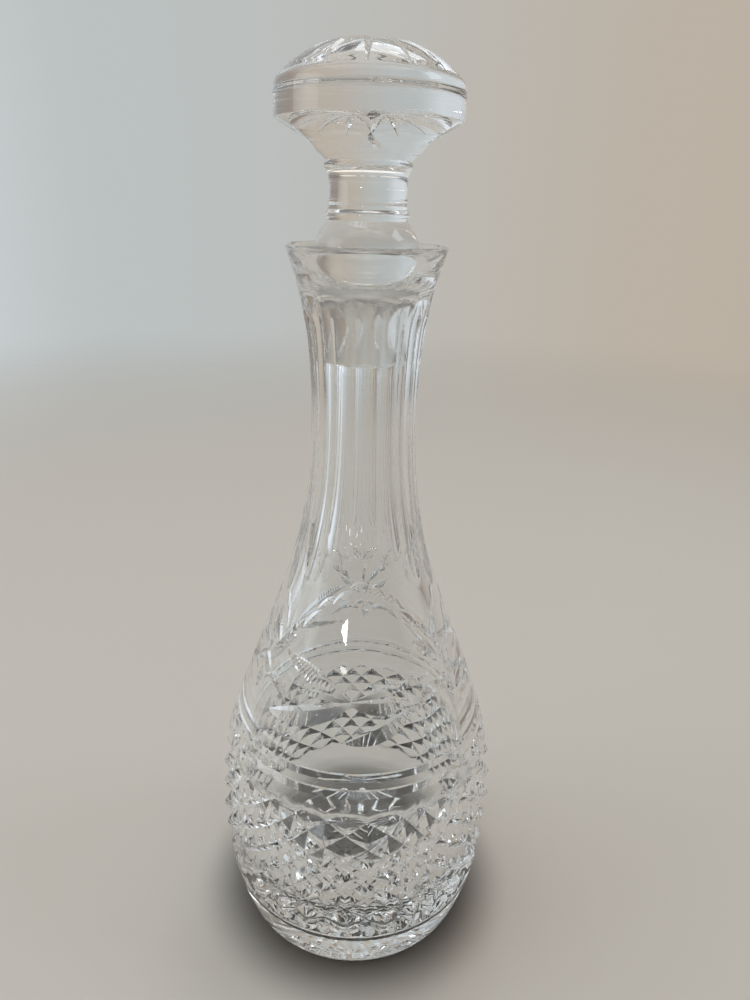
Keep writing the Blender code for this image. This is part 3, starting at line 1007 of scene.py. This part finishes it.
def make_floor():
    """A plain pale table top with a painted shadow, darker just under the foot, that fades into the
    background far off.
    """
    bm = bmesh.new()
    bmesh.ops.create_circle(bm, cap_ends=True, segments=96, radius=FLOOR_RADIUS)
    mesh = bpy.data.meshes.new("floor")
    bm.to_mesh(mesh)
    bm.free()
    floor = bpy.data.objects.new("floor", mesh)
    bpy.context.scene.collection.objects.link(floor)
    material, tree, surface = new_material("pale_floor")
    surface.inputs["Roughness"].default_value = 0.6
    coordinates = tree.nodes.new("ShaderNodeTexCoord")
    length = tree.nodes.new("ShaderNodeVectorMath")
    length.operation = "LENGTH"
    tree.links.new(coordinates.outputs["Object"], length.inputs[0])
    # Painted shadow: the floor colour darkens towards the axis, under the foot, by distance alone.
    shade = tree.nodes.new("ShaderNodeMix")
    shade.data_type = "RGBA"
    shade.inputs["A"].default_value = PAINTED_SHADOW_COLOR
    shade.inputs["B"].default_value = FLOOR_COLOR
    painted_shadow = eased(tree, length.outputs["Value"], PAINTED_SHADOW_SPAN)
    tree.links.new(painted_shadow.outputs["Result"], shade.inputs["Factor"])
    tree.links.new(shade.outputs["Result"], surface.inputs["Base Color"])
    fade = eased(tree, length.outputs["Value"], FADE_SPAN)
    clear = tree.nodes.new("ShaderNodeBsdfTransparent")
    mix = tree.nodes.new("ShaderNodeMixShader")
    tree.links.new(fade.outputs["Result"], mix.inputs["Fac"])
    tree.links.new(surface.outputs["BSDF"], mix.inputs[1])
    tree.links.new(clear.outputs["BSDF"], mix.inputs[2])
    tree.links.new(mix.outputs["Shader"], tree.nodes["Material Output"].inputs["Surface"])
    mesh.materials.append(material)
    floor.location.z = -FLOOR_GAP
    floor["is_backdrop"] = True


def make_world():
    """Soft room light: cooler to the left, warmer to the right, dimmer behind the camera."""
    world = bpy.data.worlds.new("studio")
    bpy.context.scene.world = world
    world.use_nodes = True
    tree = world.node_tree
    background = tree.nodes["Background"]
    coordinates = tree.nodes.new("ShaderNodeTexCoord")
    split = tree.nodes.new("ShaderNodeSeparateXYZ")
    tree.links.new(coordinates.outputs["Generated"], split.inputs["Vector"])
    side = tree.nodes.new("ShaderNodeMapRange")
    side.inputs["From Min"].default_value = -1.0
    tree.links.new(split.outputs["X"], side.inputs["Value"])
    tone = tree.nodes.new("ShaderNodeValToRGB")
    tone.color_ramp.interpolation = "EASE"
    steps = tone.color_ramp.elements
    steps[0].color = ROOM_TONES[0][1]
    steps[1].position, steps[1].color = ROOM_TONES[1]
    for position, color in ROOM_TONES[2:]:
        steps.new(position).color = color
    tree.links.new(side.outputs["Result"], tone.inputs["Fac"])
    depth = eased(tree, split.outputs["Y"], ROOM_DIM_SPAN)
    depth.inputs["To Min"].default_value = ROOM_DIM
    shade = tree.nodes.new("ShaderNodeMix")
    shade.data_type = "RGBA"
    shade.blend_type = "MULTIPLY"
    shade.inputs["Factor"].default_value = 1.0
    tree.links.new(tone.outputs["Color"], shade.inputs["A"])
    tree.links.new(depth.outputs["Result"], shade.inputs["B"])
    tree.links.new(shade.outputs["Result"], background.inputs["Color"])
    background.inputs["Strength"].default_value = 1.0


def add_light(name, turn, distance, height, size, radiance, color):
    """A soft rectangle of light that faces the decanter and isn't seen itself."""
    data = bpy.data.lights.new(name, "AREA")
    data.shape = "RECTANGLE"
    data.size, data.size_y = size
    data.energy = radiance * math.pi * size[0] * size[1]
    data.color = color
    light = bpy.data.objects.new(name, data)
    angle = math.radians(turn)
    light.location = (distance * math.sin(angle), -distance * math.cos(angle), height)
    aim = LIGHT_AIM - light.location
    light.rotation_euler = aim.to_track_quat("-Z", "Y").to_euler()
    light.visible_camera = False
    bpy.context.scene.collection.objects.link(light)


def make_lights():
    for light in LIGHTS:
        add_light(*light)


def make_camera():
    """The camera, placed by its distance from the axis and its turn about it."""
    data = bpy.data.cameras.new("camera")
    data.sensor_fit = "VERTICAL"
    data.sensor_height = SENSOR_HEIGHT
    data.lens = CAMERA_LENS
    data.clip_start = 0.01
    camera = bpy.data.objects.new("camera", data)
    turn = Matrix.Rotation(CAMERA_TURN, 4, "Z")
    look = Matrix.Rotation(-CAMERA_YAW, 4, "Z") @ Matrix.Rotation(math.pi / 2 - CAMERA_PITCH, 4, "X")
    roll = Matrix.Rotation(CAMERA_ROLL, 4, "Z")
    place = Matrix.Translation((0.0, -CAMERA_DISTANCE, CAMERA_HEIGHT))
    camera.matrix_world = turn @ place @ look @ roll
    bpy.context.scene.collection.objects.link(camera)
    bpy.context.scene.camera = camera


def set_light_paths():
    """Enough bounces for light to cross the many walls and facets."""
    scene = bpy.context.scene
    scene.cycles.max_bounces = 40
    scene.cycles.transmission_bounces = 36
    scene.cycles.glossy_bounces = 16
    scene.view_settings.view_transform = "Standard"
    scene.view_settings.look = "None"


def main():
    kept = {}
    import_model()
    save_bounds("cad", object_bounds(), kept)
    make_camera()
    bottle = make_bottle()
    stopper = make_stopper()
    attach(bottle, "bottle")
    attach(stopper, "stopper")
    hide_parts("bottle")
    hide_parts("stopper")
    make_floor()
    make_world()
    make_lights()
    set_light_paths()
    save_bounds("visual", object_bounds(), kept)


main()
